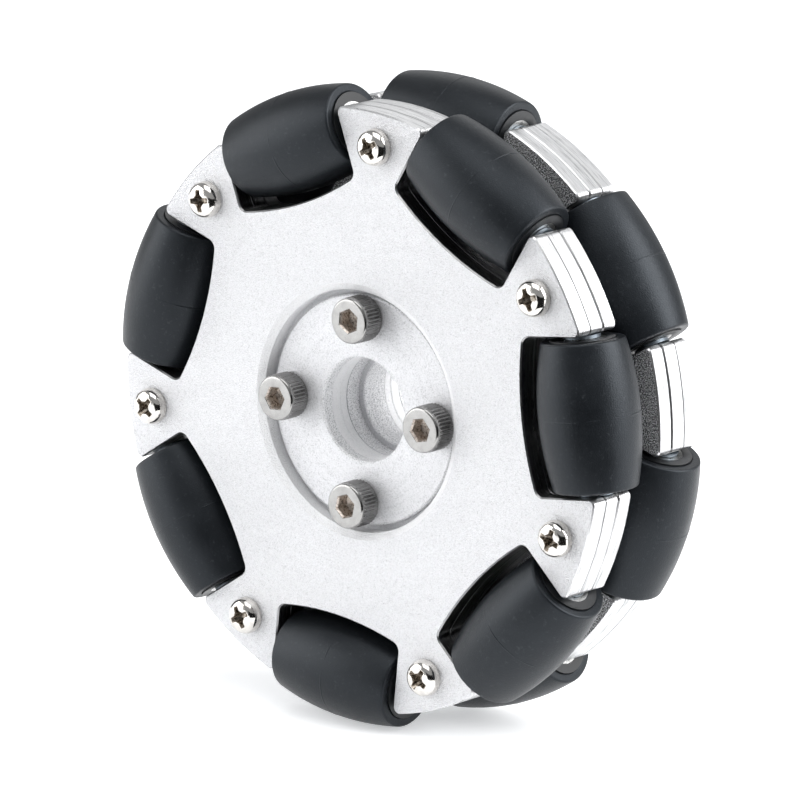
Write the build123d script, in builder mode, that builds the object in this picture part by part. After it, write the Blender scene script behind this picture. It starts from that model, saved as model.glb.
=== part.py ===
from build123d import *
import os
from math import sqrt, sin, cos, radians

# Double-row omnidirectional wheel, laminated aluminium, seven barrel rollers in each row.
# Frame: origin at the wheel's centre, axle along Y, front face towards -Y, +Z up.
# All sizes in millimetres.

# ---- driving dimensions ----
WHEEL_R = 50.0            # tread radius, the barrels' common outer circle
ROLLERS = 7               # rollers in each row
STEP = 360.0 / ROLLERS
LUG_PHASE = 32.6          # angle of a front lug, from +X towards +Z, degrees
FRONT_ROLLER_0 = LUG_PHASE - STEP / 2
REAR_ROLLER_0 = LUG_PHASE

PLATE_T = 3.0             # one laminated plate
PLATE_R = 47.0            # plate outer radius, at the lugs
ROW_PITCH = 15.0          # between the two rows' mid planes
ROW_Y = ROW_PITCH / 2
FACE_Y = ROW_Y + 1.5 * PLATE_T     # outer face of a row
GAP_Y = ROW_Y - 1.5 * PLATE_T      # inner face of a row

AXIS_R = 42.2             # roller axis, from the wheel's centre
ROLLER_HALF = 11.5        # half the roller's length over its core
TYRE_HALF = 11.3          # half the moulded rubber's length
POCKET_HALF = 12.1        # half the pocket's length between lugs
POCKET_GAP = 1.5          # clearance under the barrel
POCKET_FILLET = 1.4
LUG_FILLET = 1.0

PIN_R = 1.49
PIN_HALF = 16.0
SLOT_HALF = 16.05
SLOT_W = 3.0

CORE_R = 4.98
CORE_BORE_R = 3.0
SEAT_R = 3.5
TYRE_BORE_R = 5.0
BEARING_W = 3.0
BEARING_OUT_R = 3.48
RACE_OUT_R = 2.9
SHIELD_R = 2.2
SHIELD_T = 0.25
INNER_RING_R = 2.1
INNER_RING_BORE = 1.5
WASHER_R = 2.75
WASHER_BORE = 1.55
WASHER_T = 0.5

LUG_SCREW_PCR = 41.8      # radius of the circle that the lug screws stand on
LUG_SCREW_R = 1.5
LUG_SCREW_L = 8.0
LUG_HEAD_R = 2.85
LUG_HEAD_H = 2.3

RECESS_R = 18.85          # hole of the outer plates
RECESS_CHAMFER_R = 19.95
RECESS_CHAMFER_T = 0.7
DISC_R = 17.9             # hub discs
DISC_Y0 = 8.0             # disc inner face, let 1 mm into the middle plate
DISC_Y1 = 10.1            # disc outer face
DISC_SEAT_R = 17.95
BORE_R = 8.1              # register bore
SHAFT_R = 7.0             # shaft bore, in the spacer
STEP_Y = -1.6             # front end of the shaft bore
SPACER_R = 18.0
SPIGOT_R = 11.0
SPIGOT_SEAT_R = 11.05
SPIGOT_Y = 4.4

CAP_PCR = 14.5            # radius of the circle that the cap screws stand on
CAP_ANGLE = -1.5
CAP_R = 2.0               # threaded end
CAP_SHANK_R = 1.95        # plain shank, inside the stack
CAP_L = 25.0
CAP_HEAD_R = 3.6
CAP_HEAD_H = 4.0
CAP_HOLE_R = 2.15
CAP_SOCKET_AF = 3.0

os.makedirs("parts", exist_ok=True)


def polar(r, a, y):
    return (r * cos(radians(a)), y, r * sin(radians(a)))


def roller_plane(a, y):
    # local X runs along the roller's axis, local Y points away from the wheel's centre
    return Plane(origin=polar(AXIS_R, a, y),
                 x_dir=(-sin(radians(a)), 0, cos(radians(a))), z_dir=(0, 1, 0))


def finish(built, name):
    built.part.label = name
    export_step(built.part, "parts/" + name + ".step")


def row_outline(first_roller):
    # lugged disc: seven pockets, each following its barrel, cut out of a round blank
    lip = AXIS_R * 2 - sqrt((WHEEL_R + POCKET_GAP) ** 2 - POCKET_HALF ** 2)
    floor = AXIS_R * 2 - WHEEL_R - POCKET_GAP
    Circle(PLATE_R)
    with BuildSketch(mode=Mode.PRIVATE) as pocket:
        with BuildLine():
            ThreePointArc((lip, -POCKET_HALF), (floor, 0), (lip, POCKET_HALF))
            Polyline((lip, POCKET_HALF), (60, POCKET_HALF), (60, -POCKET_HALF), (lip, -POCKET_HALF))
        make_face()
    with PolarLocations(0, ROLLERS, start_angle=first_roller):
        add(pocket.sketch, mode=Mode.SUBTRACT)


def radius_xz(v):
    return sqrt(v.X ** 2 + v.Z ** 2)


# ---- laminated plates ----
# side: -1 front row, +1 rear row; layer: 0 outer, 1 middle, 2 inner
def plate(name, side, layer):
    first_roller = FRONT_ROLLER_0 if side < 0 else REAR_ROLLER_0
    y_out = side * (FACE_Y - layer * PLATE_T)
    y_in = side * (FACE_Y - (layer + 1) * PLATE_T)
    y_low, y_high = min(y_out, y_in), max(y_out, y_in)
    with BuildPart() as built:
        with BuildSketch(Plane.XZ.offset(-y_high)):
            row_outline(first_roller)
        extrude(amount=PLATE_T)
        along = built.edges().filter_by(Axis.Y)
        fillet([e for e in along if radius_xz(e.center()) < 40], POCKET_FILLET)
        along = built.edges().filter_by(Axis.Y)
        fillet([e for e in along if radius_xz(e.center()) > 46.5], LUG_FILLET)
        # broken edges of the cut outline
        bevel = {0: (0.22, 0.10), 1: (0.10, 0.28), 2: (0.28, 0.22)}[layer]
        for y_face, size in ((y_out, bevel[0]), (y_in, bevel[1])):
            outline = built.faces().filter_by(Axis.Y).sort_by(Axis.Y)[0 if y_face == y_low else -1]
            chamfer(outline.outer_wire().edges(), size)
        # central hole
        hole_r = RECESS_R if layer == 0 else BORE_R
        with BuildSketch(Plane.XZ.offset(-y_high)):
            Circle(hole_r)
        extrude(amount=PLATE_T, mode=Mode.SUBTRACT)
        if layer == 0:
            with BuildSketch(Plane.XY):
                with BuildLine():
                    Polyline((RECESS_R - 1, y_out), (RECESS_CHAMFER_R, y_out),
                             (RECESS_R, y_out - side * RECESS_CHAMFER_T),
                             (RECESS_R - 1, y_out - side * RECESS_CHAMFER_T), close=True)
                make_face()
            revolve(axis=Axis.Y, mode=Mode.SUBTRACT)
        # seats that centre the hub disc and the spacer
        seat = {1: (DISC_SEAT_R, DISC_Y0, DISC_Y1), 2: (SPIGOT_SEAT_R, 0, SPIGOT_Y)}.get(layer)
        if seat:
            r, ya, yb = seat
            ya, yb = sorted((side * ya, side * yb))
            with BuildSketch(Plane.XZ.offset(-yb)):
                Circle(r)
            extrude(amount=yb - ya, mode=Mode.SUBTRACT)
        # screw holes in the lugs: clear in the outer and middle plates, tapped in the inner one
        with BuildSketch(Plane.XZ.offset(-y_high)):
            with PolarLocations(LUG_SCREW_PCR, ROLLERS, start_angle=first_roller + STEP / 2):
                Circle(LUG_SCREW_R + (0.05 if layer == 2 else 0.1))
        extrude(amount=PLATE_T, mode=Mode.SUBTRACT)
        # hub screw holes
        if layer > 0:
            with BuildSketch(Plane.XZ.offset(-y_high)):
                with PolarLocations(CAP_PCR, 4, start_angle=CAP_ANGLE):
                    Circle(CAP_HOLE_R)
            extrude(amount=PLATE_T, mode=Mode.SUBTRACT)
        # the middle plate's slots hold the ends of the roller pins
        if layer == 1:
            with BuildSketch(Plane.XZ.offset(-y_high)):
                with PolarLocations(AXIS_R, ROLLERS, start_angle=first_roller):
                    Rectangle(SLOT_W, 2 * SLOT_HALF)
            extrude(amount=PLATE_T, mode=Mode.SUBTRACT)
        # eased bore edge
        if layer > 0:
            rims = [e for e in built.edges().filter_by(GeomType.CIRCLE)
                    if abs(e.radius - BORE_R) < 1e-3 and radius_xz(e.arc_center) < 0.01]
            chamfer(rims, 0.2)
    finish(built, name)


for row_name, side in (("front", -1), ("rear", 1)):
    for layer_name, layer in (("outer", 0), ("middle", 1), ("inner", 2)):
        plate(row_name + "_" + layer_name + "_plate", side, layer)

# ---- hub discs: seated in the middle plates, inside the outer plates' holes ----
for row_name, side in (("front", -1), ("rear", 1)):
    ya, yb = sorted((side * DISC_Y0, side * DISC_Y1))
    with BuildPart() as hub_disc:
        with BuildSketch(Plane.XZ.offset(-yb)):
            Circle(DISC_R)
            Circle(BORE_R, mode=Mode.SUBTRACT)
            with PolarLocations(CAP_PCR, 4, start_angle=CAP_ANGLE):
                # clear in front, tapped behind
                Circle(CAP_HOLE_R if side < 0 else CAP_R + 0.05, mode=Mode.SUBTRACT)
        extrude(amount=yb - ya)
        rims = [e for e in hub_disc.edges().filter_by(GeomType.CIRCLE)
                if e.radius > BORE_R - 0.01 and abs(e.arc_center.Y - side * DISC_Y1) < 0.01]
        chamfer(rims, 0.25)
    finish(hub_disc, row_name + "_hub_disc")

# ---- spacer between the rows, with a spigot at each end and the stepped shaft bore ----
with BuildPart() as hub_spacer:
    with BuildSketch(Plane.XY):
        with BuildLine():
            Polyline((BORE_R, -SPIGOT_Y), (SPIGOT_R, -SPIGOT_Y), (SPIGOT_R, -GAP_Y), (SPACER_R, -GAP_Y),
                     (SPACER_R, GAP_Y), (SPIGOT_R, GAP_Y), (SPIGOT_R, SPIGOT_Y), (BORE_R, SPIGOT_Y),
                     (BORE_R, GAP_Y), (SHAFT_R, GAP_Y), (SHAFT_R, STEP_Y), (BORE_R, STEP_Y), close=True)
        make_face()
    revolve(axis=Axis.Y)
    with BuildSketch(Plane.XZ.offset(-GAP_Y)):
        with PolarLocations(CAP_PCR, 4, start_angle=CAP_ANGLE):
            Circle(CAP_HOLE_R)
    extrude(amount=2 * GAP_Y, mode=Mode.SUBTRACT)
    shoulder = [e for e in hub_spacer.edges().filter_by(GeomType.CIRCLE)
                if abs(e.radius - SHAFT_R) < 1e-3]
    chamfer(shoulder, 0.2)
finish(hub_spacer, "hub_spacer")

# ---- hub cap screws: hexagon socket, through both rows, ends standing out behind ----
with BuildPart() as hub_cap_screws:
    with BuildSketch(Plane.XZ.offset(DISC_Y1)):
        with PolarLocations(CAP_PCR, 4, start_angle=CAP_ANGLE):
            Circle(CAP_HEAD_R)
    extrude(amount=CAP_HEAD_H)
    rims = [e for e in hub_cap_screws.edges().filter_by(GeomType.CIRCLE)
            if e.arc_center.Y < -DISC_Y1 - CAP_HEAD_H + 0.01]
    chamfer(rims, 0.4)
    with BuildSketch(Plane.XZ.offset(DISC_Y1)):
        with PolarLocations(CAP_PCR, 4, start_angle=CAP_ANGLE):
            Circle(CAP_SHANK_R)
    extrude(amount=-2 * DISC_Y1 - 0.2)
    with BuildSketch(Plane.XZ.offset(-DISC_Y1 - 0.2)):
        with PolarLocations(CAP_PCR, 4, start_angle=CAP_ANGLE):
            Circle(CAP_R)
    extrude(amount=-(CAP_L - 2 * DISC_Y1 - 0.2))
    tips = [e for e in hub_cap_screws.edges().filter_by(GeomType.CIRCLE)
            if e.arc_center.Y > CAP_L - DISC_Y1 - 0.01]
    chamfer(tips, 0.4)
    with BuildSketch(Plane.XZ.offset(DISC_Y1 + CAP_HEAD_H)):
        with PolarLocations(CAP_PCR, 4, start_angle=CAP_ANGLE):
            RegularPolygon(CAP_SOCKET_AF / 2, 6, major_radius=False)
    extrude(amount=-2.2, mode=Mode.SUBTRACT)
finish(hub_cap_screws, "hub_cap_screws")

# ---- lug screws: pan heads with a cross recess, one in each lug ----
for row_name, side, first_roller in (("front", -1, FRONT_ROLLER_0), ("rear", 1, REAR_ROLLER_0)):
    outward = Plane(origin=(0, side * FACE_Y, 0), x_dir=(1, 0, 0), z_dir=(0, side, 0))
    # on the rear face the sketch is seen from behind, so its angles run the other way
    turn = (first_roller + STEP / 2) * (1 if side < 0 else -1)
    with BuildPart() as lug_screws:
        with BuildSketch(outward):
            with PolarLocations(LUG_SCREW_PCR, ROLLERS, start_angle=turn):
                Circle(LUG_HEAD_R)
        extrude(amount=LUG_HEAD_H)
        domes = [e for e in lug_screws.edges().filter_by(GeomType.CIRCLE)
                 if abs(e.arc_center.Y) > FACE_Y + LUG_HEAD_H - 0.01]
        fillet(domes, 1.5)
        with BuildSketch(outward):
            with PolarLocations(LUG_SCREW_PCR, ROLLERS, start_angle=turn):
                Circle(LUG_SCREW_R)
        extrude(amount=-LUG_SCREW_L)
        with BuildSketch(outward.offset(LUG_HEAD_H)):
            with PolarLocations(LUG_SCREW_PCR, ROLLERS, start_angle=turn):
                Rectangle(3.0, 0.75)
                Rectangle(0.75, 3.0)
        extrude(amount=-1.4, mode=Mode.SUBTRACT)
    finish(lug_screws, row_name + "_lug_screws")

# ---- rollers ----
def barrel(s):
    return sqrt(WHEEL_R ** 2 - s ** 2) - AXIS_R


for row_name, y_row, first_roller in (("front", -ROW_Y, FRONT_ROLLER_0), ("rear", ROW_Y, REAR_ROLLER_0)):
    for k in range(ROLLERS):
        station = roller_plane(first_roller + k * STEP, y_row)
        spin = Axis(station.origin, station.x_dir)
        stem = row_name + "_roller_" + str(k + 1) + "_"

        # rubber barrel, its outline an arc of the tread circle, its rims rounded
        rim_s, rim_r = TYRE_HALF, barrel(TYRE_HALF) - 0.15
        with BuildPart() as tyre:
            with BuildSketch(station):
                with BuildLine():
                    ThreePointArc((-rim_s, rim_r), (0, barrel(0)), (rim_s, rim_r))
                    Polyline((rim_s, rim_r), (rim_s, TYRE_BORE_R), (-rim_s, TYRE_BORE_R), (-rim_s, rim_r))
                make_face()
            revolve(axis=spin)
            rims = [e for e in tyre.edges().filter_by(GeomType.CIRCLE) if e.radius > 6.0 and e.is_closed
                    and abs((e.arc_center - station.origin).length - rim_s) < 0.05]
            fillet(rims, 0.7)
        finish(tyre, stem + "tyre")

        # moulded core with a bearing seat at each end
        seat_s = ROLLER_HALF - BEARING_W
        with BuildPart() as core:
            with BuildSketch(station):
                with BuildLine():
                    Polyline((-ROLLER_HALF, SEAT_R), (-ROLLER_HALF, CORE_R), (ROLLER_HALF, CORE_R),
                             (ROLLER_HALF, SEAT_R), (seat_s, SEAT_R), (seat_s, CORE_BORE_R),
                             (-seat_s, CORE_BORE_R), (-seat_s, SEAT_R), close=True)
                make_face()
            revolve(axis=spin)
        finish(core, stem + "core")

        # outer ring and shields of the two ball bearings
        with BuildPart() as bearings:
            for end in (-1, 1):
                a, b = seat_s + 0.02, ROLLER_HALF - 0.05
                with BuildSketch(station):
                    with BuildLine():
                        Polyline((end * a, SHIELD_R), (end * a, BEARING_OUT_R), (end * b, BEARING_OUT_R),
                                 (end * b, SHIELD_R), (end * (b - SHIELD_T), SHIELD_R),
                                 (end * (b - SHIELD_T), RACE_OUT_R), (end * (a + SHIELD_T), RACE_OUT_R),
                                 (end * (a + SHIELD_T), SHIELD_R), close=True)
                    make_face()
                revolve(axis=spin)
        finish(bearings, stem + "bearing_outer_rings")

    # pins, inner rings and end washers of the whole row
    stations = [roller_plane(first_roller + k * STEP, y_row) for k in range(ROLLERS)]
    with BuildPart() as pins:
        for station in stations:
            with BuildSketch(station):
                with BuildLine():
                    Polyline((-PIN_HALF, 0), (-PIN_HALF, PIN_R - 0.2), (-PIN_HALF + 0.2, PIN_R),
                             (PIN_HALF - 0.2, PIN_R), (PIN_HALF, PIN_R - 0.2), (PIN_HALF, 0), close=True)
                make_face()
            revolve(axis=Axis(station.origin, station.x_dir))
    finish(pins, row_name + "_roller_pins")

    with BuildPart() as inner_rings:
        for station in stations:
            with BuildSketch(station):
                for end in (-1, 1):
                    with Locations((end * (ROLLER_HALF - BEARING_W / 2), (INNER_RING_R + INNER_RING_BORE) / 2)):
                        Rectangle(BEARING_W, INNER_RING_R - INNER_RING_BORE)
            revolve(axis=Axis(station.origin, station.x_dir))
    finish(inner_rings, row_name + "_bearing_inner_rings")

    with BuildPart() as washers:
        for station in stations:
            with BuildSketch(station):
                for end in (-1, 1):
                    with Locations((end * (POCKET_HALF + ROLLER_HALF) / 2, (WASHER_R + WASHER_BORE) / 2)):
                        Rectangle(WASHER_T, WASHER_R - WASHER_BORE)
            revolve(axis=Axis(station.origin, station.x_dir))
    finish(washers, row_name + "_roller_washers")
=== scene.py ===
import bpy, bmesh
from math import sin, cos, pi, radians, sqrt, atan2
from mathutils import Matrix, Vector


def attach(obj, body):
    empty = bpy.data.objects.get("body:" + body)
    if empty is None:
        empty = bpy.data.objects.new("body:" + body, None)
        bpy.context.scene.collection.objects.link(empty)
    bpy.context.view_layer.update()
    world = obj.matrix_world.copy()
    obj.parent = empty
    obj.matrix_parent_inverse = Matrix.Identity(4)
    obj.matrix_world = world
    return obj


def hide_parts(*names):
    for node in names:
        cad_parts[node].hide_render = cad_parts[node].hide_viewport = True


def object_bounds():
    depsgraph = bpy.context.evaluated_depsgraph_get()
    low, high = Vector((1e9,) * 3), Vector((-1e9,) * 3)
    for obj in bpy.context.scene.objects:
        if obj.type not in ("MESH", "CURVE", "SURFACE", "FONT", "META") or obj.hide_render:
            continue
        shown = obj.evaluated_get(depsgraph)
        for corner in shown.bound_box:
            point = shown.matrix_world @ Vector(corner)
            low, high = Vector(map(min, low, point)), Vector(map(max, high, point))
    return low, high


# The looks of a double-row omnidirectional wheel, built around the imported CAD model.
# Lengths in the helpers below are millimetres; MM turns them into the frame's metres.
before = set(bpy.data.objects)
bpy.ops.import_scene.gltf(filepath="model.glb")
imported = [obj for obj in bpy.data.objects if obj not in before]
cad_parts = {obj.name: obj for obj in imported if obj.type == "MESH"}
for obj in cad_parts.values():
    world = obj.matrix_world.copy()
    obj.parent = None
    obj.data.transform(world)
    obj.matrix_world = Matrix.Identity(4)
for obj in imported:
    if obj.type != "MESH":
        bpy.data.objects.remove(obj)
cad_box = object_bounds()
MM = 0.001
scene = bpy.context.scene

# ---- sizes shared with part.py, in millimetres ----
ROLLERS = 7
STEP = 360.0 / ROLLERS
LUG_PHASE = 32.6
FRONT_ROLLER_0 = LUG_PHASE - STEP / 2
REAR_ROLLER_0 = LUG_PHASE
AXIS_R = 42.2
ROW_Y = 7.5
FACE_Y = 12.0


# ---------------------------------------------------------------- materials
class Nodes:
    """A material's node tree, written as short calls."""

    def __init__(self, name):
        self.material = bpy.data.materials.new(name)
        self.material.use_nodes = True
        self.tree = self.material.node_tree
        self.shader = self.tree.nodes["Principled BSDF"]

    def add(self, kind, links=(), values=(), **settings):
        node = self.tree.nodes.new(kind)
        for key, value in settings.items():
            setattr(node, key, value)
        for socket, value in values:
            node.inputs[socket].default_value = value
        for socket, source in links:
            self.tree.links.new(source, node.inputs[socket])
        return node

    def join(self, socket, source):
        self.tree.links.new(source, self.shader.inputs[socket])

    def coords(self):
        return self.add("ShaderNodeTexCoord").outputs["Object"]

    def stretched(self, source, scale):
        return self.add("ShaderNodeMapping", links=[("Vector", source)],
                        values=[("Scale", scale)]).outputs["Vector"]

    def noise(self, source, scale, detail=2.0, rough=0.5, distortion=0.0):
        return self.add("ShaderNodeTexNoise", links=[("Vector", source)],
                        values=[("Scale", scale), ("Detail", detail), ("Roughness", rough),
                                ("Distortion", distortion)]).outputs["Fac"]

    def spread(self, source, low, high, to_low=0.0, to_high=1.0):
        return self.add("ShaderNodeMapRange", links=[("Value", source)],
                        values=[("From Min", low), ("From Max", high), ("To Min", to_low),
                                ("To Max", to_high)]).outputs["Result"]

    def ramp(self, source, stops):
        node = self.add("ShaderNodeValToRGB", links=[("Fac", source)])
        elements = node.color_ramp.elements
        while len(elements) < len(stops):
            elements.new(0.5)
        for element, (place, colour) in zip(elements, stops):
            element.position = place
            element.color = (*colour, 1.0)
        return node.outputs["Color"]

    def mix(self, fac, a, b, kind="FLOAT"):
        node = self.add("ShaderNodeMix", data_type=kind)
        names = {"FLOAT": (2, 3, 0), "RGBA": (6, 7, 2)}[kind]
        for index, value in ((0, fac), (names[0], a), (names[1], b)):
            if isinstance(value, bpy.types.NodeSocket):
                self.tree.links.new(value, node.inputs[index])
            else:
                node.inputs[index].default_value = value
        return node.outputs[names[2]]

    def maths(self, operation, a, b=0.0):
        node = self.add("ShaderNodeMath", operation=operation)
        for index, value in ((0, a), (1, b)):
            if isinstance(value, bpy.types.NodeSocket):
                self.tree.links.new(value, node.inputs[index])
            else:
                node.inputs[index].default_value = value
        return node.outputs[0]

    def bump(self, height, distance, strength=1.0, below=None):
        node = self.add("ShaderNodeBump", links=[("Height", height)],
                        values=[("Strength", strength), ("Distance", distance)])
        if below is not None:
            self.tree.links.new(below, node.inputs["Normal"])
        return node.outputs["Normal"]


def aluminium_plate():
    """Sand-blasted faces, and cut edges with fine lines along the plate."""
    n = Nodes("blasted_aluminium")
    at = n.coords()
    normal = n.add("ShaderNodeTexCoord").outputs["Normal"]
    parts = n.add("ShaderNodeSeparateXYZ", links=[("Vector", normal)])
    facing = n.maths("ABSOLUTE", parts.outputs["Y"])
    face = n.spread(facing, 0.80, 0.95)
    # the wall and the bevel of the hub opening are blasted like the faces
    place = n.add("ShaderNodeSeparateXYZ", links=[("Vector", at)])
    flat = n.add("ShaderNodeCombineXYZ", links=[("X", place.outputs["X"]), ("Y", place.outputs["Z"])])
    radius = n.add("ShaderNodeVectorMath", operation="LENGTH", links=[("Vector", flat.outputs[0])]).outputs["Value"]
    opening = n.spread(radius, 0.0235, 0.0245, 1.0, 0.0)
    wall = n.maths("MULTIPLY", opening, n.spread(facing, 0.80, 0.95, 1.0, 0.0))
    face = n.maths("MAXIMUM", face, opening)
    grain = n.noise(at, 6800.0, 3.0, 0.62)
    coarse = n.noise(at, 5000.0, 2.0, 0.6)
    pits = n.noise(at, 3200.0, 2.0, 0.7, 0.4)
    cloud = n.noise(at, 90.0, 3.0, 0.55)
    lines = n.noise(n.stretched(at, (420.0, 9500.0, 420.0)), 1.0, 3.0, 0.55)
    layers = n.noise(n.stretched(at, (60.0, 2300.0, 60.0)), 1.0, 2.0, 0.5)
    speck = n.maths("ADD", n.maths("MULTIPLY", grain, 0.6), n.maths("MULTIPLY", pits, 0.4))
    face_colour = n.ramp(speck, [(0.34, (0.54, 0.543, 0.555)), (0.43, (0.73, 0.733, 0.748)),
                                 (0.60, (0.81, 0.812, 0.832))])
    wall_colour = n.ramp(speck, [(0.34, (0.72, 0.722, 0.735)), (0.43, (0.88, 0.88, 0.89)),
                                 (0.60, (0.94, 0.94, 0.95))])
    face_colour = n.mix(wall, face_colour, wall_colour, "RGBA")
    # painted shade on the faces between the two rows: a coarse blast grain painted near-black, with bright painted
    # glints
    between = n.spread(n.maths("ABSOLUTE", place.outputs["Y"]), 0.0040, 0.0046, 1.0, 0.0)
    painted_shade_glint_grain = n.ramp(coarse, [(0.42, (0.045, 0.046, 0.048)), (0.50, (0.30, 0.302, 0.31)),
                             (0.58, (0.92, 0.92, 0.94))])
    face_colour = n.mix(n.maths("MULTIPLY", between, n.spread(facing, 0.80, 0.95)), face_colour, painted_shade_glint_grain, "RGBA")
    cut = n.maths("ADD", n.maths("MULTIPLY", lines, 0.6), n.maths("MULTIPLY", layers, 0.4))
    edge_colour = n.ramp(cut, [(0.36, (0.34, 0.343, 0.348)), (0.46, (0.63, 0.633, 0.64)),
                               (0.58, (0.78, 0.78, 0.79))])
    # painted shade and grime in the joints between the laminated plates, 9 and 6 mm from the wheel's middle: dark
    # lines standing in for the shade in the narrow gaps
    where = n.maths("ABSOLUTE", place.outputs["Y"])
    wobble = n.maths("MULTIPLY", n.maths("SUBTRACT", cloud, 0.5), 0.00008)
    joint_a = n.maths("ABSOLUTE", n.maths("SUBTRACT", n.maths("ADD", where, wobble), 0.0090))
    joint_b = n.maths("ABSOLUTE", n.maths("SUBTRACT", n.maths("ADD", where, wobble), 0.0060))
    outside_shade_and_grime = n.maths("MULTIPLY", n.spread(joint_a, 0.00008, 0.00022, 0.38, 1.0),
                    n.spread(joint_b, 0.00007, 0.00020, 0.34, 1.0))
    # painted shade on the pocket walls beside the rollers
    outside_shade_and_grime = n.maths("MULTIPLY", outside_shade_and_grime, n.spread(radius, 0.0440, 0.0465, 0.45, 1.0))
    # the cut edges are mixed towards near-black by the painted shade in the pockets and joints, and by the joint
    # grime
    edge_colour = n.mix(outside_shade_and_grime, (0.035, 0.036, 0.038, 1.0), edge_colour, "RGBA")
    n.join("Base Color", n.mix(face, edge_colour, face_colour, "RGBA"))
    n.join("Metallic", n.mix(wall, n.mix(face, 1.0, 0.74), 0.08))
    n.join("Roughness", n.mix(face, n.spread(cut, 0.3, 0.7, 0.40, 0.24),
                              n.spread(cloud, 0.3, 0.7, 0.34, 0.44)))
    height = n.mix(face, n.maths("MULTIPLY", cut, 0.12), coarse)
    n.join("Normal", n.bump(height, 0.00030, 1.0))
    return n.material


def aluminium_turned():
    """Hub discs and spacer: faint turning marks about the axle under the same blasted grain."""
    n = Nodes("turned_aluminium")
    at = n.coords()
    parts = n.add("ShaderNodeSeparateXYZ", links=[("Vector", at)])
    flat = n.add("ShaderNodeCombineXYZ", links=[("X", parts.outputs["X"]), ("Y", parts.outputs["Z"])])
    radius = n.add("ShaderNodeVectorMath", operation="LENGTH", links=[("Vector", flat.outputs[0])])
    along = n.add("ShaderNodeCombineXYZ", links=[("X", radius.outputs["Value"]), ("Y", parts.outputs["Y"])])
    rings = n.noise(along.outputs[0], 6500.0, 2.0, 0.55)
    broad = n.noise(along.outputs[0], 900.0, 2.0, 0.5)
    grain = n.noise(at, 5200.0, 3.0, 0.62)
    cloud = n.noise(at, 110.0, 2.0, 0.5)
    mixed = n.maths("ADD", n.maths("MULTIPLY", grain, 0.80),
                    n.maths("ADD", n.maths("MULTIPLY", rings, 0.13), n.maths("MULTIPLY", broad, 0.07)))
    disc = n.ramp(mixed, [(0.34, (0.44, 0.443, 0.455)), (0.44, (0.65, 0.653, 0.668)), (0.60, (0.745, 0.745, 0.765))])
    bore = n.ramp(mixed, [(0.38, (0.34, 0.343, 0.355)), (0.47, (0.70, 0.702, 0.715)), (0.58, (0.93, 0.93, 0.94))])
    # the bore's walls are duller than the disc's face
    facing = n.maths("ABSOLUTE", n.add("ShaderNodeSeparateXYZ", links=[
        ("Vector", n.add("ShaderNodeTexCoord").outputs["Normal"])]).outputs["Y"])
    n.join("Base Color", n.mix(n.spread(facing, 0.6, 0.95), bore, disc, "RGBA"))
    n.join("Metallic", n.spread(facing, 0.6, 0.95, 0.12, 0.80))
    n.join("Roughness", n.spread(cloud, 0.3, 0.7, 0.30, 0.40))
    n.join("Normal", n.bump(mixed, 0.00020, 1.0))
    return n.material


def nickel(name, warm, smooth, rough, scratch):
    """Plated screws: bright, slightly warm, with fine handling marks and plating haze."""
    n = Nodes(name)
    at = n.coords()
    haze = n.noise(at, 700.0, 4.0, 0.6)
    marks = n.noise(n.stretched(at, (5200.0, 900.0, 2600.0)), 1.0, 3.0, 0.6, 0.6)
    tint = n.ramp(haze, [(0.25, tuple(c * 0.80 for c in warm)), (0.55, warm),
                         (0.80, tuple(min(1.0, c * 1.08) for c in warm))])
    n.join("Base Color", tint)
    n.shader.inputs["Metallic"].default_value = 1.0
    n.join("Roughness", n.spread(haze, 0.3, 0.75, smooth, rough))
    n.join("Normal", n.bump(marks, 0.00001, scratch))
    return n.material


def recess_metal(name, dark, middle, light, metallic):
    """Inside the screws' drive recesses: darker, brownish metal in a noise ramp of the colours given."""
    n = Nodes(name)
    at = n.coords()
    film = n.noise(at, 2400.0, 3.0, 0.6)
    fine = n.noise(at, 6000.0, 2.0, 0.5)
    n.join("Base Color", n.ramp(film, [(0.30, dark), (0.52, middle), (0.72, light)]))
    n.shader.inputs["Metallic"].default_value = metallic
    n.join("Roughness", n.spread(film, 0.3, 0.7, 0.22, 0.36))
    n.join("Normal", n.bump(fine, 0.00003, 0.7))
    return n.material


def steel_ground():
    """Pins and bearing rings: ground steel, cooler than the plated screws."""
    n = Nodes("ground_steel")
    at = n.coords()
    haze = n.noise(at, 900.0, 3.0, 0.55)
    fine = n.noise(at, 7000.0, 2.0, 0.5)
    n.join("Base Color", n.ramp(haze, [(0.3, (0.40, 0.40, 0.395)), (0.6, (0.56, 0.56, 0.55)),
                                       (0.8, (0.66, 0.66, 0.65))]))
    n.shader.inputs["Metallic"].default_value = 1.0
    n.join("Roughness", n.spread(haze, 0.3, 0.7, 0.24, 0.36))
    n.join("Normal", n.bump(fine, 0.000006, 0.4))
    return n.material


def zinc_washer():
    """Thin washers: bluish zinc plating with a soft cloudy finish."""
    n = Nodes("zinc_plate")
    at = n.coords()
    cloud = n.noise(at, 1300.0, 3.0, 0.6)
    fine = n.noise(at, 6000.0, 2.0, 0.5)
    n.join("Base Color", n.ramp(cloud, [(0.3, (0.14, 0.165, 0.19)), (0.55, (0.22, 0.25, 0.28)),
                                        (0.8, (0.32, 0.35, 0.38))]))
    n.shader.inputs["Metallic"].default_value = 1.0
    n.join("Roughness", n.spread(cloud, 0.3, 0.7, 0.38, 0.52))
    n.join("Normal", n.bump(fine, 0.000008, 0.4))
    return n.material


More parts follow.
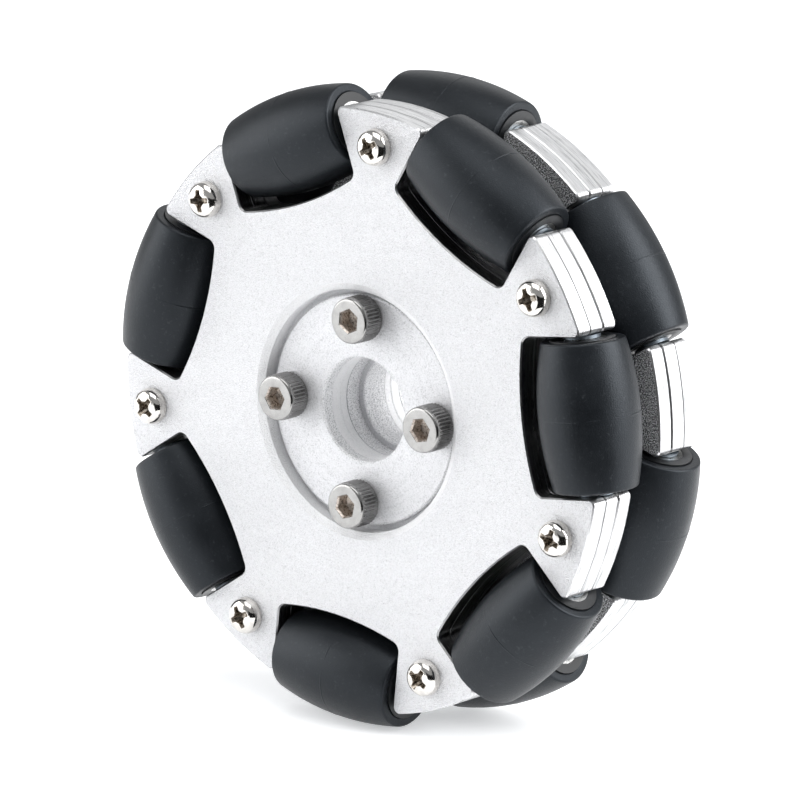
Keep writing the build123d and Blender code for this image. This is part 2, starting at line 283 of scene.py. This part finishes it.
def rubber():
    """Moulded black rubber: satin, a faint bloom and dust, a very fine moulded texture."""
    n = Nodes("roller_rubber")
    at = n.coords()
    bloom = n.noise(at, 160.0, 4.0, 0.6)
    fine = n.noise(at, 5200.0, 3.0, 0.6)
    dust = n.noise(at, 1500.0, 2.0, 0.7, 0.3)
    base = n.ramp(bloom, [(0.25, (0.0044, 0.0053, 0.0067)), (0.55, (0.0066, 0.0078, 0.0096)),
                          (0.80, (0.0104, 0.0120, 0.0142))])
    specks = n.spread(dust, 0.60, 0.76, 0.0, 0.38)
    n.join("Base Color", n.mix(specks, base, (0.040, 0.044, 0.048, 1.0), "RGBA"))
    n.join("Roughness", n.spread(bloom, 0.25, 0.75, 0.34, 0.44))
    n.shader.inputs["Specular IOR Level"].default_value = 0.31
    n.shader.inputs["Specular Tint"].default_value = (0.83, 0.91, 1.0, 1.0)
    n.join("Normal", n.bump(fine, 0.00006, 0.6))
    return n.material


def nylon():
    """Roller cores: black moulded nylon, a little glossier than the rubber."""
    n = Nodes("core_nylon")
    at = n.coords()
    cloud = n.noise(at, 400.0, 3.0, 0.55)
    fine = n.noise(at, 4200.0, 2.0, 0.5)
    n.join("Base Color", n.ramp(cloud, [(0.3, (0.006, 0.007, 0.008)), (0.7, (0.012, 0.013, 0.015))]))
    n.join("Roughness", n.spread(cloud, 0.3, 0.7, 0.34, 0.48))
    n.join("Normal", n.bump(fine, 0.00001, 0.3))
    return n.material


PLATE = aluminium_plate()
TURNED = aluminium_turned()
CAP_NICKEL = nickel("nickel_cap_screw", (0.37, 0.365, 0.358), 0.15, 0.26, 0.45)
PAN_NICKEL = nickel("nickel_pan_screw", (0.74, 0.715, 0.68), 0.08, 0.16, 0.12)
HEX_RECESS = recess_metal("socket_metal", (0.27, 0.228, 0.195), (0.50, 0.440, 0.390), (0.76, 0.70, 0.645), 0.70)
CROSS_RECESS = recess_metal("cross_metal", (0.065, 0.053, 0.041), (0.27, 0.232, 0.190), (0.68, 0.625, 0.555), 0.95)
STEEL = steel_ground()
ZINC = zinc_washer()
RUBBER = rubber()
NYLON = nylon()


def paint(obj, material):
    obj.data.materials.clear()
    obj.data.materials.append(material)


for node_name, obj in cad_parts.items():
    if node_name.endswith("_plate"):
        paint(obj, PLATE)
    elif node_name.startswith("hub_spacer") or node_name.endswith("_hub_disc"):
        paint(obj, TURNED)
    elif node_name == "hub_cap_screws":
        paint(obj, CAP_NICKEL)
    elif node_name.endswith("_lug_screws"):
        paint(obj, PAN_NICKEL)
    elif node_name.endswith("_pins") or node_name.endswith("_rings"):
        paint(obj, STEEL)
    elif node_name.endswith("_washers"):
        paint(obj, ZINC)
    elif node_name.endswith("_core"):
        paint(obj, NYLON)
    else:
        paint(obj, RUBBER)


# ---------------------------------------------------------------- mesh building
def ring(bm, points):
    return [bm.verts.new(p) for p in points]


def bridge(bm, a, b, index=0):
    """Faces between two rings; one ring may have a whole multiple of the other's points."""
    if len(a) == 1 or len(b) == 1:
        tip, rim = (a[0], b) if len(a) == 1 else (b[0], a)
        for i in range(len(rim)):
            bm.faces.new((rim[i], rim[(i + 1) % len(rim)], tip)).material_index = index
        return
    fine, coarse = (a, b) if len(a) >= len(b) else (b, a)
    k = len(fine) // len(coarse)
    for j in range(len(coarse)):
        run = [fine[(k * j + i) % len(fine)] for i in range(k + 1)]
        bm.faces.new(run + [coarse[(j + 1) % len(coarse)], coarse[j]]).material_index = index


def lofted(bm, rings, closed=False, inner=0):
    """inner: how many of the first bands take the second material."""
    made = [ring(bm, points) for points in rings]
    for number, (a, b) in enumerate(zip(made, made[1:])):
        bridge(bm, a, b, 1 if number < inner else 0)
    if closed:
        bridge(bm, made[-1], made[0])


def piece(name, bm, material, body, node, sharp=32.0, second=None):
    bmesh.ops.recalc_face_normals(bm, faces=bm.faces)
    limit = radians(sharp)
    for edge in bm.edges:
        if len(edge.link_faces) == 2:
            edge.smooth = edge.calc_face_angle(0.0) < limit
    for face in bm.faces:
        face.smooth = True
    mesh = bpy.data.meshes.new(name)
    bm.to_mesh(mesh)
    bm.free()
    obj = bpy.data.objects.new(name, mesh)
    scene.collection.objects.link(obj)
    # appended, not painted: clearing the slots would reset the faces' material numbers
    obj.data.materials.append(material)
    if second:
        obj.data.materials.append(second)
    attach(obj, body)
    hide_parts(node)
    return obj


def bend(p0, p1, p2, radius, steps=6):
    """Points of a rounded corner at p1 in a (position, radius) outline."""
    a, b, c = Vector(p0), Vector(p1), Vector(p2)
    u, v = (a - b).normalized(), (c - b).normalized()
    half = u.angle(v) / 2
    back = radius / max(1e-6, abs(sin(half) / cos(half)))
    middle = b + (u + v).normalized() * (radius / sin(half))
    start, end = b + u * back, b + v * back
    a0 = atan2(start.y - middle.y, start.x - middle.x)
    a1 = atan2(end.y - middle.y, end.x - middle.x)
    while a1 - a0 > pi:
        a1 -= 2 * pi
    while a1 - a0 < -pi:
        a1 += 2 * pi
    return [(middle.x + radius * cos(a0 + (a1 - a0) * i / steps),
             middle.y + radius * sin(a0 + (a1 - a0) * i / steps)) for i in range(steps + 1)]


# ---------------------------------------------------------------- rollers
TYRE_HALF, RIM_R, CROWN_R, TYRE_BORE = 11.3, 6.356, 7.74, 5.0


def tyre_outline():
    """(position along the axis, radius) from one end to the other, outside then back through the bore."""
    sag = CROWN_R - RIM_R
    arc = (TYRE_HALF ** 2 + sag ** 2) / (2 * sag)

    def crown(s):
        return CROWN_R - arc + sqrt(arc ** 2 - s ** 2)

    corner = bend((TYRE_HALF, 5.0), (TYRE_HALF, RIM_R), (TYRE_HALF - 1.5, crown(TYRE_HALF - 1.5)), 0.40, 7)
    side = []
    reach = corner[-1][0] - 0.05
    count = 20
    for i in range(count + 1):
        s = reach * (1 - i / count)
        if s > 0.2:
            side.append((s, crown(s)))
    # the parting line of the mould: a hair-thin raised ring at mid length
    seam = [(0.16, crown(0.16)), (0.085, crown(0.085)), (0.045, crown(0.0) + 0.038), (0.0, crown(0.0) + 0.048)]
    half = [(TYRE_HALF, 5.35), (TYRE_HALF, 5.9)] + corner + side + seam
    half = half + [(-s, r) for s, r in reversed(half[:-1])]
    return [(TYRE_HALF - 0.12, TYRE_BORE), (TYRE_HALF, 5.12)] + half + [(-TYRE_HALF, 5.12),
                                                                  (-TYRE_HALF + 0.12, TYRE_BORE)]


SEGMENTS = 144
OUTLINE = tyre_outline()
for row, first, y_row in (("front", FRONT_ROLLER_0, -ROW_Y), ("rear", REAR_ROLLER_0, ROW_Y)):
    for k in range(ROLLERS):
        a = radians(first + k * STEP)
        centre = Vector((AXIS_R * cos(a), y_row, AXIS_R * sin(a)))
        along, out, side = Vector((-sin(a), 0, cos(a))), Vector((cos(a), 0, sin(a))), Vector((0, 1, 0))
        seed = k + (0 if row == "front" else 20)
        bm = bmesh.new()
        rings = []
        for s, r in OUTLINE:
            points = []
            for i in range(SEGMENTS):
                t = 2 * pi * i / SEGMENTS
                radius = r
                if abs(s) < 0.05:
                    # the parting ridge comes and goes around the roller
                    wave = sin(t * 3 + seed) + 0.7 * sin(t * 7 + seed * 2.1) + 0.5 * sin(t * 13 + seed * 0.7)
                    radius = r - 0.045 * min(1.0, max(0.0, 0.45 - 0.4 * wave))
                points.append((centre + along * s + (out * cos(t) + side * sin(t)) * radius) * MM)
            rings.append(points)
        lofted(bm, rings, closed=True)
        stem = f"{row}_roller_{k + 1}"
        piece(stem + "_rubber", bm, RUBBER, stem, stem + "_tyre", sharp=50.0)


# ---------------------------------------------------------------- hub cap screws
CAP_PCR, CAP_ANGLE = 14.5, -1.5
HEAD_Y0, HEAD_Y1 = -10.1, -14.1
HEAD_R, SOCKET_AF, SOCKET_DEEP = 3.6, 3.0, 2.2
TEETH, PER_TOOTH = 36, 10
HEX_TURN = (12.0, 25.0, 4.0, 18.0)


def hexagon(t, af, turn):
    """Radius of a hexagon's outline at angle t."""
    sector = (t - turn) % (pi / 3) - pi / 6
    return (af / 2) / cos(sector)


def thread_depth(phase):
    """0 at the crest, 1 at the root, of a 60 degree thread."""
    x = abs(((phase % 1.0) - 0.5) * 2)
    return min(1.0, max(0.0, (x - 0.14) / 0.66))


def cap_screw(bm, angle, turn):
    centre = Vector((CAP_PCR * cos(angle), 0, CAP_PCR * sin(angle)))
    count = TEETH * PER_TOOTH

    def circle(y, radius, number=count):
        points = []
        for i in range(number):
            t = 2 * pi * i / number
            r = radius(t, i) if callable(radius) else radius
            points.append((centre + Vector((r * cos(t), y, r * sin(t)))) * MM)
        return points

    def knurl(depth):
        def at(t, i):
            x = abs(((i % PER_TOOTH) / PER_TOOTH) * 2 - 1)
            return HEAD_R - depth * min(1.0, (1 - x) * 1.6)
        return at

    rings = [[(centre + Vector((0, HEAD_Y1 + SOCKET_DEEP + 0.45, 0))) * MM]]
    rings.append(circle(HEAD_Y1 + SOCKET_DEEP, lambda t, i: hexagon(t, SOCKET_AF - 0.02, turn)))
    rings.append(circle(HEAD_Y1 + 0.40, lambda t, i: hexagon(t, SOCKET_AF + 0.04, turn)))
    rings.append(circle(HEAD_Y1 + 0.06, lambda t, i: hexagon(t, SOCKET_AF + 0.42, turn)))
    rings.append(circle(HEAD_Y1 + 0.0, lambda t, i: hexagon(t, SOCKET_AF + 0.56, turn)))
    rings.append(circle(HEAD_Y1, lambda t, i: hexagon(t, SOCKET_AF + 0.60, turn) + 0.02))
    rings.append(circle(HEAD_Y1, 2.6))
    for i in range(8):
        t = pi / 2 * i / 7
        rings.append(circle(HEAD_Y1 + 0.42 * (1 - cos(t)), 3.10 + 0.42 * sin(t)))
    rings.append(circle(HEAD_Y1 + 0.56, 3.52))
    rings.append(circle(HEAD_Y1 + 0.60, 3.47))
    rings.append(circle(HEAD_Y1 + 0.66, 3.47))
    rings.append(circle(HEAD_Y1 + 0.74, knurl(0.18)))
    rings.append(circle(HEAD_Y1 + 0.84, knurl(0.24)))
    rings.append(circle(HEAD_Y0 - 0.26, knurl(0.24)))
    rings.append(circle(HEAD_Y0 - 0.10, lambda t, i: knurl(0.20)(t, i) - 0.08))
    rings.append(circle(HEAD_Y0, 3.36))
    rings.append(circle(HEAD_Y0, 2.4, 60))
    rings.append(circle(HEAD_Y0, 1.95, 60))
    rings.append(circle(9.4, 1.95, 60))
    rings.append(circle(10.0, 1.62, 60))
    # the end that stands out behind: M4 thread, chamfered tip
    start, end, pitch = 10.2, 14.9, 0.7
    steps = 84
    for j in range(steps + 1):
        y = start + (end - start) * j / steps
        lead = min(1.0, (y - start) / 0.35)
        tip = max(0.0, y - (end - 0.45)) / 0.45

        def radius(t, i, y=y, lead=lead, tip=tip):
            crest = 1.995 - 0.40 * thread_depth((y - pitch * t / (2 * pi)) / pitch)
            return min(1.62 + (crest - 1.62) * lead if crest > 1.62 else crest, 1.995 - 0.45 * tip)
        rings.append(circle(y, radius, 60))
    rings.append(circle(end, 0.8, 60))
    rings.append([(centre + Vector((0, end, 0))) * MM])
    lofted(bm, rings, inner=3)


bm = bmesh.new()
for k in range(4):
    cap_screw(bm, radians(CAP_ANGLE + 90.0 * k), radians(HEX_TURN[k]))
piece("hub_cap_screws_knurled", bm, CAP_NICKEL, "wheel_frame", "hub_cap_screws", sharp=26.0, second=HEX_RECESS)


# ---------------------------------------------------------------- lug screws
LUG_PCR, LUG_HEAD_R, LUG_HEAD_H = 41.8, 2.85, 2.3
# how far each cross is turned: as the screws happened to stop
FRONT_TURN = (20.0, 33.0, 8.0, 50.0, 27.0, 57.0, 70.0)
REAR_TURN = (41.0, 12.0, 66.0, 5.0, 33.0, 80.0, 24.0)


def cross(t, turn, wing, reach, core):
    """Radius of a cross recess at angle t: four wings about a round core."""
    x = (t - turn + pi / 4) % (pi / 2) - pi / 4
    s = max(1e-4, abs(sin(x)))
    value = min(reach / cos(x), wing / s)
    # soft change from wing to core
    return (value ** 8 + core ** 8) ** 0.125 if value < reach else value


def pan_screw(bm, angle, y_sign, turn):
    centre = Vector((LUG_PCR * cos(angle), 0, LUG_PCR * sin(angle)))
    count = 96
    face = FACE_Y

    def circle(h, radius, number=count):
        """h is the height above the plate's face, outwards."""
        points = []
        for i in range(number):
            t = 2 * pi * i / number
            r = radius(t) if callable(radius) else radius
            points.append((centre + Vector((r * cos(t), y_sign * (face + h), r * sin(t)))) * MM)
        return points

    # the dome: a shallow crown, and a rounded shoulder that falls to the rim
    def crown(r):
        return LUG_HEAD_H - 0.02 - 0.045 * r * r

    rings = [[(centre + Vector((0, y_sign * (face + LUG_HEAD_H - 1.55), 0))) * MM]]
    levels = [(1.50, 0.10, 0.46), (1.40, 0.22, 0.66), (1.0, 0.30, 1.05), (0.5, 0.37, 1.44), (0.16, 0.40, 1.68)]
    for depth, wing, reach in levels:
        core = 0.52 + 0.44 * (1 - depth / 1.50)
        rings.append(circle(LUG_HEAD_H - depth, lambda t: cross(t, turn, wing, reach, core)))

    def lip(t):
        return cross(t, turn, 0.43, 1.78, 0.99)
    rings.append([(centre + Vector((lip(2 * pi * i / count) * cos(2 * pi * i / count),
                                    y_sign * (face + crown(lip(2 * pi * i / count)) - 0.015),
                                    lip(2 * pi * i / count) * sin(2 * pi * i / count)))) * MM
                  for i in range(count)])
    rings.append([(centre + Vector(((lip(2 * pi * i / count) + 0.10) * cos(2 * pi * i / count),
                                    y_sign * (face + crown(lip(2 * pi * i / count) + 0.10)),
                                    (lip(2 * pi * i / count) + 0.10) * sin(2 * pi * i / count)))) * MM
                  for i in range(count)])
    # shoulder arc from r 1.95 to the rim
    shoulder = [(1.95, 2.085), (2.10, 2.02), (2.25, 1.925), (2.40, 1.80), (2.54, 1.64), (2.66, 1.44),
                (2.755, 1.20), (2.815, 0.92), (2.845, 0.62), (2.85, 0.34), (2.835, 0.16), (2.76, 0.04)]
    for r, h in shoulder:
        rings.append(circle(h, r))
    rings.append(circle(0.0, 2.62))
    rings.append(circle(0.0, 1.7, 24))
    rings.append(circle(0.0, 1.45, 24))
    # M3 thread down to the tip
    pitch, length, steps = 0.5, 8.0, 112
    for j in range(steps + 1):
        h = -0.05 - (length - 0.05) * j / steps
        tip = max(0.0, -h - (length - 0.35)) / 0.35
        rings.append(circle(h, lambda t, h=h, tip=tip: min(1.49 - 0.27 * thread_depth((h - pitch * t / (2 * pi)) / pitch),
                                                       1.49 - 0.4 * tip), 24))
    rings.append([(centre + Vector((0, y_sign * (face - length), 0))) * MM])
    lofted(bm, rings, inner=6)


for row, first, y_sign, turns in (("front", FRONT_ROLLER_0, -1, FRONT_TURN), ("rear", REAR_ROLLER_0, 1, REAR_TURN)):
    bm = bmesh.new()
    for k in range(ROLLERS):
        pan_screw(bm, radians(first + STEP / 2 + k * STEP), y_sign, radians(turns[k]))
    piece(row + "_lug_screws_crosshead", bm, PAN_NICKEL, "wheel_frame", row + "_lug_screws", sharp=40.0,
          second=CROSS_RECESS)


# ---------------------------------------------------------------- floor, light, camera
def pale_floor():
    n = Nodes("studio_floor")
    at = n.coords()
    tone = n.noise(at, 3.0, 3.0, 0.5)
    n.join("Base Color", n.ramp(tone, [(0.3, (0.86, 0.862, 0.868)), (0.7, (0.89, 0.892, 0.896))]))
    n.shader.inputs["Roughness"].default_value = 0.75
    n.shader.inputs["Specular IOR Level"].default_value = 0.2
    # an opal table, lit softly from below, keeps the ground white
    n.shader.inputs["Emission Color"].default_value = (0.97, 0.985, 1.0, 1.0)
    n.shader.inputs["Emission Strength"].default_value = 0.46
    return n.material


bm = bmesh.new()
bmesh.ops.create_grid(bm, x_segments=8, y_segments=8, size=6.0)
for v in bm.verts:
    v.co.z = cad_box[0][2] - 0.00002
mesh = bpy.data.meshes.new("studio_floor")
bm.to_mesh(mesh)
bm.free()
ground = bpy.data.objects.new("studio_floor", mesh)
scene.collection.objects.link(ground)
paint(ground, pale_floor())


def lamp(name, azimuth, elevation, distance, width, height, power, colour=(1, 1, 1)):
    """A soft box that faces the wheel. Azimuth 0 is in front (-Y), 90 is +X."""
    az, el = radians(azimuth), radians(elevation)
    where = Vector((sin(az) * cos(el), -cos(az) * cos(el), sin(el))) * distance
    data = bpy.data.lights.new(name, "AREA")
    data.shape = "RECTANGLE"
    data.size, data.size_y = width, height
    data.energy = power
    data.color = colour
    obj = bpy.data.objects.new(name, data)
    obj.location = where
    obj.rotation_euler = (-where).to_track_quat("-Z", "Y").to_euler()
    obj.visible_camera = False
    scene.collection.objects.link(obj)
    return obj


lamp("softbox_left", -52, 18, 0.80, 0.70, 0.70, 4.5)
lamp("softbox_top", 20, 72, 0.85, 0.70, 0.70, 3.4)
lamp("softbox_right_back", 116, 30, 0.75, 0.55, 0.75, 9.0)
lamp("softbox_back", -158, 33, 0.85, 0.80, 0.60, 1.1)


def flag(name, from_azimuth, to_azimuth, distance, low, high):
    """A curved black card that only reflections see. It gives the bright metal its dark accents."""
    bm = bmesh.new()
    steps = 24
    before = None
    for i in range(steps + 1):
        az = radians(from_azimuth + (to_azimuth - from_azimuth) * i / steps)
        column = [bm.verts.new((sin(az) * d, -cos(az) * d, z))
                  for d, z in ((distance * 0.36, low), (distance * 0.8, low + 0.002), (distance, low + 0.02),
                               (distance * 1.02, high))]
        if before:
            for j in range(3):
                bm.faces.new((before[j], column[j], column[j + 1], before[j + 1]))
        before = column
    mesh = bpy.data.meshes.new(name)
    bm.to_mesh(mesh)
    bm.free()
    obj = bpy.data.objects.new(name, mesh)
    scene.collection.objects.link(obj)
    n = Nodes(name)
    cloth = n.noise(n.coords(), 300.0, 2.0, 0.5)
    n.join("Base Color", n.ramp(cloth, [(0.3, (0.006, 0.006, 0.006)), (0.7, (0.012, 0.012, 0.012))]))
    n.shader.inputs["Roughness"].default_value = 1.0
    n.shader.inputs["Specular IOR Level"].default_value = 0.0
    paint(obj, n.material)
    obj.visible_camera = obj.visible_diffuse = obj.visible_shadow = obj.visible_transmission = False
    return obj


flag("black_flag", 4.0, 90.0, 0.30, -0.0495, 0.075)

world = bpy.data.worlds.new("studio")
world.use_nodes = True
background = world.node_tree.nodes["Background"]
background.inputs["Color"].default_value = (0.97, 0.985, 1.0, 1.0)
background.inputs["Strength"].default_value = 0.36
scene.world = world
scene.view_settings.view_transform = "Standard"
scene.view_settings.look = "None"

camera_data = bpy.data.cameras.new("camera")
camera_data.sensor_width = 36.0
camera_data.lens = 292.76
camera_data.shift_x = -0.0073
camera_data.shift_y = -0.0017
camera_data.clip_start = 0.01
camera = bpy.data.objects.new("camera", camera_data)
az, el = radians(39.923), radians(12.735)
camera.location = Vector((sin(az) * cos(el), -cos(az) * cos(el), sin(el))) * 1.0
camera.rotation_euler = (-camera.location).to_track_quat("-Z", "Y").to_euler()
scene.collection.objects.link(camera)
scene.camera = camera

bpy.context.view_layer.update()
